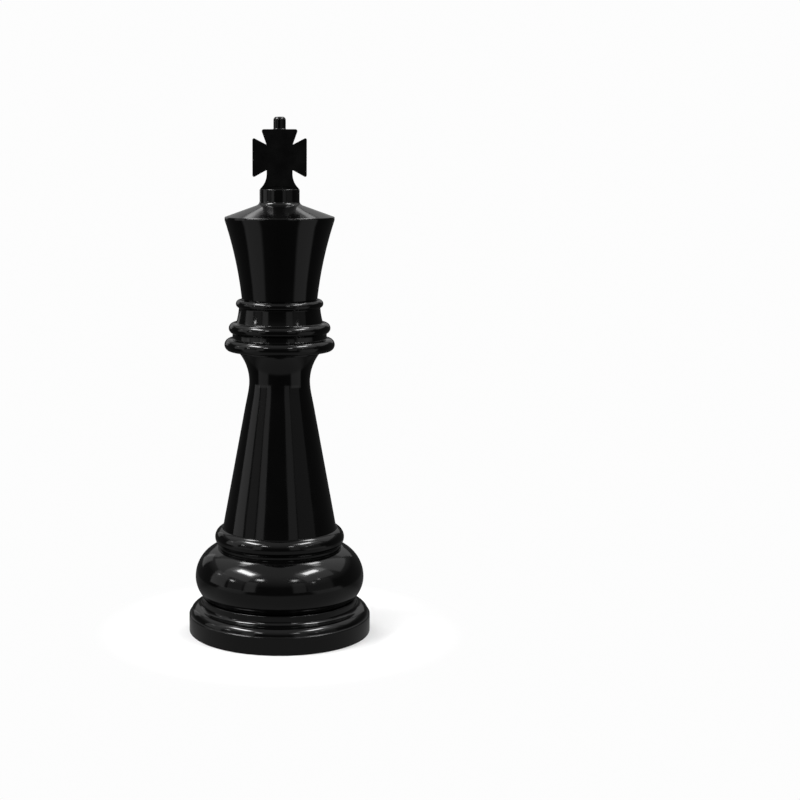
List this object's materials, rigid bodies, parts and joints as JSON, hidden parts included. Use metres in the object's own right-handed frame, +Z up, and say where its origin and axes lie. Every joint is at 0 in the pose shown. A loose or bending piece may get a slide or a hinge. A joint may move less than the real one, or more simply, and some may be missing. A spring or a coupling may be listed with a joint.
{
  "type": "giant chess king",
  "caption": "Knee-high garden chess king: sand-filled foot and bulge, tapered stem, ringed collar, flared crown and a lift-out cross; the sections push together.",
  "frame": {"origin": "centre of the foot's underside, on the surface the piece stands on", "axes": "+Z up the piece's axis to the peg on the cross; -Y is the front, which a broad face of the cross looks along"},
  "size_m": [0.2286, 0.2286, 0.64],
  "materials": {
    "gloss_black_shell": "polished moulding",
    "black_inner_moulding": "as moulded",
    "black_base_moulding": "fine spark texture",
    "rubber": "matt",
    "zinc_screw": "zinc plated",
    "steel_pin": "ground",
    "sand": "loose dry grains"
  },
  "bodies": {
    "base": {"foot_shell": "gloss_black_shell", "bulge_shell": "gloss_black_shell", "base_plate": "black_base_moulding", "base_seal": "rubber", "base_plate_screws": "zinc_screw", "sand_ballast": "sand", "socket_ring": "gloss_black_shell", "socket_ring_screws": "zinc_screw"},
    "cap_carrier": {"filler_cap_seal": "rubber"},
    "filler_cap": {"filler_cap": "black_base_moulding"},
    "stem": {"stem_shell": "gloss_black_shell", "stem_foot_plug": "black_inner_moulding", "stem_top_plug": "gloss_black_shell", "stem_grip_ring": "rubber", "head_grip_ring": "rubber"},
    "head": {"collar_shell": "gloss_black_shell", "head_socket": "black_inner_moulding", "head_socket_screws": "zinc_screw", "crown_shell": "gloss_black_shell", "crown_screws": "zinc_screw", "crown_lid": "gloss_black_shell"},
    "cross": {"cross_front": "gloss_black_shell", "cross_rear": "gloss_black_shell", "cross_dowels": "steel_pin", "cross_peg": "gloss_black_shell", "cross_spigot": "black_inner_moulding", "cross_grip_ring": "rubber"}
  },
  "joints": [
    {"name": "stem_lift", "type": "slide", "parent": "base", "child": "stem", "axis": [0, 0, 1], "range_m": [0, 0.06]},
    {"name": "head_lift", "type": "slide", "parent": "stem", "child": "head", "axis": [0, 0, 1], "range_m": [0, 0.05]},
    {"name": "cross_lift", "type": "slide", "parent": "head", "child": "cross", "axis": [0, 0, 1], "range_m": [0, 0.05]},
    {"name": "cap_travel", "type": "slide", "parent": "base", "child": "cap_carrier", "axis": [0, 0, -1], "range_m": [0, 0.0121]},
    {"name": "cap_turn", "type": "hinge", "parent": "cap_carrier", "child": "filler_cap", "pos_m": [0, 0, 0.003], "axis": [0, 0, -1], "range_deg": [0, 1080]}
  ],
  "couplings": [
    {"joint": "cap_travel", "follows": "cap_turn", "m_per_rad": 0.00063662}
  ]
}
